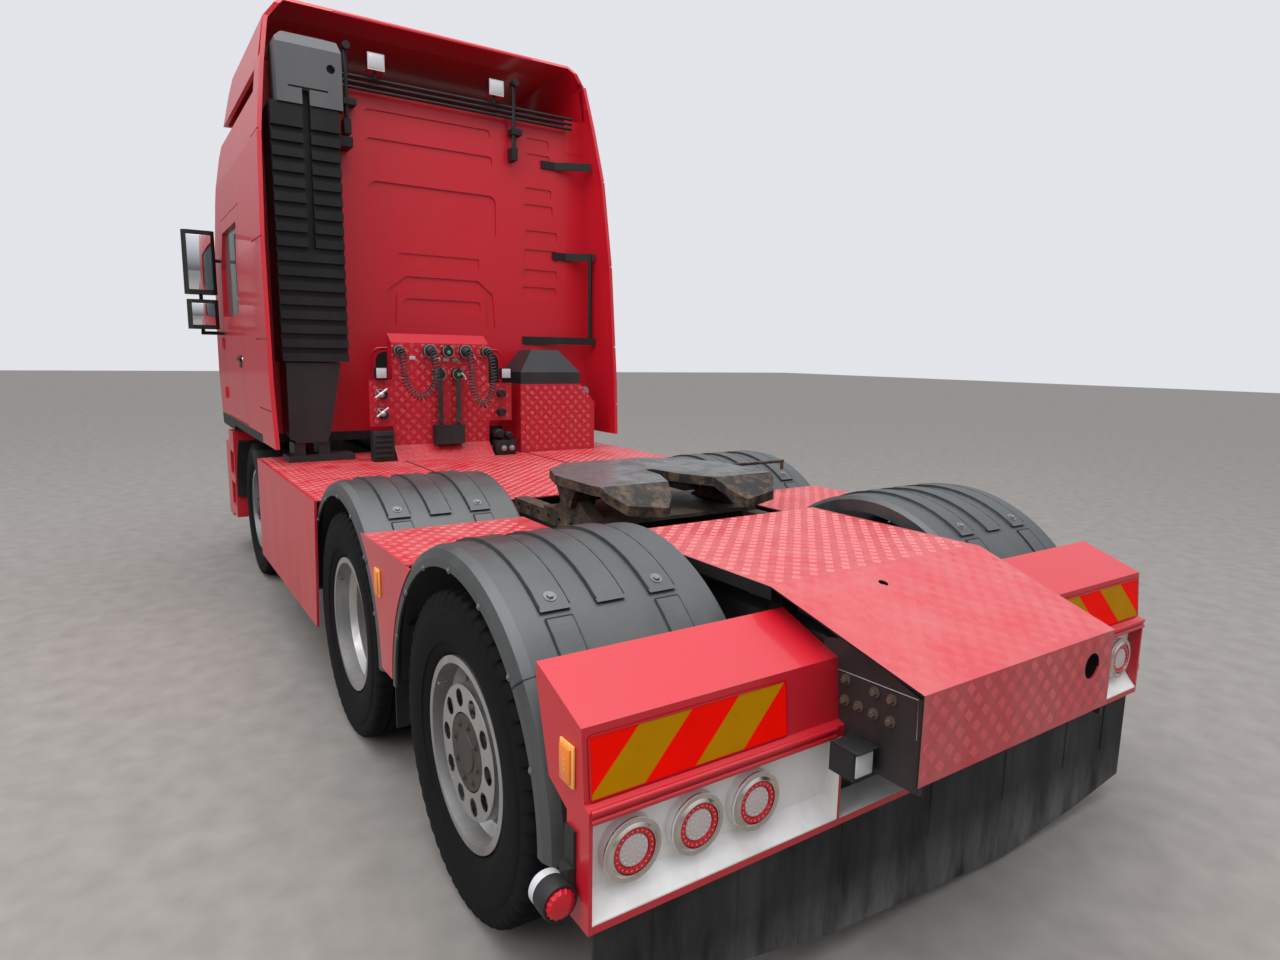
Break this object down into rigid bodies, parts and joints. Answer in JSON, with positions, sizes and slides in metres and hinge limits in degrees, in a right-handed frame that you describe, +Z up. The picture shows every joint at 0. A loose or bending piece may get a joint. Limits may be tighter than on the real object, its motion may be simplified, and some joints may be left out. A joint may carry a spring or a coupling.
{
  "type": "semi truck tractor unit",
  "caption": "Cab-over sleeper tractor unit with two rear axles, twin drive wheels, horseshoe fifth wheel, chequer plate decks and rear lamp boxes.",
  "frame": {"origin": "on the ground under the middle of the vehicle's length and width", "axes": "+X forward, +Y to the left side, +Z up"},
  "size_m": [6.797, 3, 3.8499],
  "materials": {
    "red_paint": "glossy",
    "red_chequer": "satin, chequer plate",
    "frame_paint": "satin",
    "axle_paint": "rough cast",
    "engine_paint": "painted casting",
    "dark_plastic": "grained",
    "guard_plastic": "weathered",
    "greased_steel": "greased",
    "tank_metal": "brushed",
    "white_panel": "gloss",
    "lamp_lens": "clear and red lens",
    "lamp_body": "clear lens over reflector",
    "mud_rubber": "matt",
    "cable_rubber": "matt",
    "tyre_rubber": "matt",
    "rim_metal": "silver",
    "pane": "tinted",
    "seat_fabric": "woven"
  },
  "bodies": {
    "chassis": {"frame": "frame_paint", "tail_plates": "frame_paint", "axles": "axle_paint", "engine": "engine_paint", "springs": "axle_paint", "bumper": "red_paint", "headlamps": "lamp_body", "entry_steps": "red_paint", "front_arches": "dark_plastic", "side_skirts": "red_paint", "deck_plates": "red_chequer", "mudguards": "guard_plastic", "tanks": "tank_metal", "centre_deck": "red_chequer", "light_bar": "red_paint", "lamp_panels": "white_panel", "round_lamps": "lamp_lens", "marker_lamps": "dark_plastic", "mud_flaps": "mud_rubber", "coupling_base": "frame_paint", "deck_stands": "red_chequer", "couplings": "dark_plastic", "coil_left": "cable_rubber", "coil_right": "cable_rubber", "air_duct": "dark_plastic"},
    "fifth_wheel": {"coupling_plate": "greased_steel"},
    "cab": {"cab_floor": "dark_plastic", "cab_rear_wall": "red_paint", "cab_roof": "red_paint", "cab_front": "red_paint", "cab_sides": "red_paint", "windscreen": "pane", "roof_deflector": "red_paint", "side_fairings": "red_paint", "intake_stack": "dark_plastic", "rear_rails": "dark_plastic", "seats": "seat_fabric", "dashboard": "dark_plastic"},
    "grille": {"grille_lid": "red_paint"},
    "left_door": {"door_left": "red_paint", "door_glass_left": "pane", "mirrors_left": "dark_plastic"},
    "right_door": {"door_right": "red_paint", "door_glass_right": "pane", "mirrors_right": "dark_plastic"},
    "left_knuckle": {"knuckle_left": "axle_paint"},
    "right_knuckle": {"knuckle_right": "axle_paint"},
    "track_rod": {"track_rod": "axle_paint"},
    "wheel_front_left": {"rim_front_left": "rim_metal", "tyre_front_left": "tyre_rubber"},
    "wheel_front_right": {"rim_front_right": "rim_metal", "tyre_front_right": "tyre_rubber"},
    "wheel_drive_left": {"rim_drive_left": "rim_metal", "tyre_drive_left": "tyre_rubber"},
    "wheel_drive_right": {"rim_drive_right": "rim_metal", "tyre_drive_right": "tyre_rubber"},
    "wheel_tag_left": {"rim_tag_left": "rim_metal", "tyre_tag_left": "tyre_rubber"},
    "wheel_tag_right": {"rim_tag_right": "rim_metal", "tyre_tag_right": "tyre_rubber"}
  },
  "joints": [
    {"name": "steer_left", "type": "hinge", "parent": "chassis", "child": "left_knuckle", "pos_m": [2.0335, 0.885, 0.505], "axis": [0, 0, 1], "range_deg": [-38, 38]},
    {"name": "steer_right", "type": "hinge", "parent": "chassis", "child": "right_knuckle", "pos_m": [2.0335, -0.885, 0.505], "axis": [0, 0, 1], "range_deg": [-38, 38]},
    {"name": "track_rod_swing", "type": "hinge", "parent": "left_knuckle", "child": "track_rod", "pos_m": [1.8035, 0.84, 0.35], "axis": [0, 0, 1], "range_deg": [-38, 38]},
    {"name": "spin_front_left", "type": "hinge", "parent": "left_knuckle", "child": "wheel_front_left", "pos_m": [2.0335, 1.035, 0.505], "axis": [0, 1, 0], "continuous": true},
    {"name": "spin_front_right", "type": "hinge", "parent": "right_knuckle", "child": "wheel_front_right", "pos_m": [2.0335, -1.035, 0.505], "axis": [0, 1, 0], "continuous": true},
    {"name": "spin_drive_left", "type": "hinge", "parent": "chassis", "child": "wheel_drive_left", "pos_m": [-0.9665, 1.09, 0.505], "axis": [0, 1, 0], "continuous": true},
    {"name": "spin_drive_right", "type": "hinge", "parent": "chassis", "child": "wheel_drive_right", "pos_m": [-0.9665, -1.09, 0.505], "axis": [0, 1, 0], "continuous": true},
    {"name": "spin_tag_left", "type": "hinge", "parent": "chassis", "child": "wheel_tag_left", "pos_m": [-2.3365, 1.09, 0.505], "axis": [0, 1, 0], "continuous": true},
    {"name": "spin_tag_right", "type": "hinge", "parent": "chassis", "child": "wheel_tag_right", "pos_m": [-2.3365, -1.09, 0.505], "axis": [0, 1, 0], "continuous": true},
    {"name": "fifth_wheel_tilt", "type": "hinge", "parent": "chassis", "child": "fifth_wheel", "pos_m": [-1.5615, 0, 1.105], "axis": [0, 1, 0], "range_deg": [-11, 11]},
    {"name": "cab_tilt", "type": "hinge", "parent": "chassis", "child": "cab", "pos_m": [3.2405, 0, 1.01], "axis": [0, 1, 0], "range_deg": [0, 60]},
    {"name": "door_left_swing", "type": "hinge", "parent": "cab", "child": "left_door", "pos_m": [2.8665, 1.24, 1.9], "axis": [0, 0, 1], "range_deg": [-78, 0]},
    {"name": "door_right_swing", "type": "hinge", "parent": "cab", "child": "right_door", "pos_m": [2.8665, -1.24, 1.9], "axis": [0, 0, 1], "range_deg": [0, 78]},
    {"name": "grille_lift", "type": "hinge", "parent": "cab", "child": "grille", "pos_m": [3.3495, 0, 1.823], "axis": [0, -1, 0], "range_deg": [0, 80]}
  ],
  "couplings": [
    {"joint": "steer_right", "follows": "steer_left", "ratio": 1},
    {"joint": "track_rod_swing", "follows": "steer_left", "ratio": -1}
  ]
}
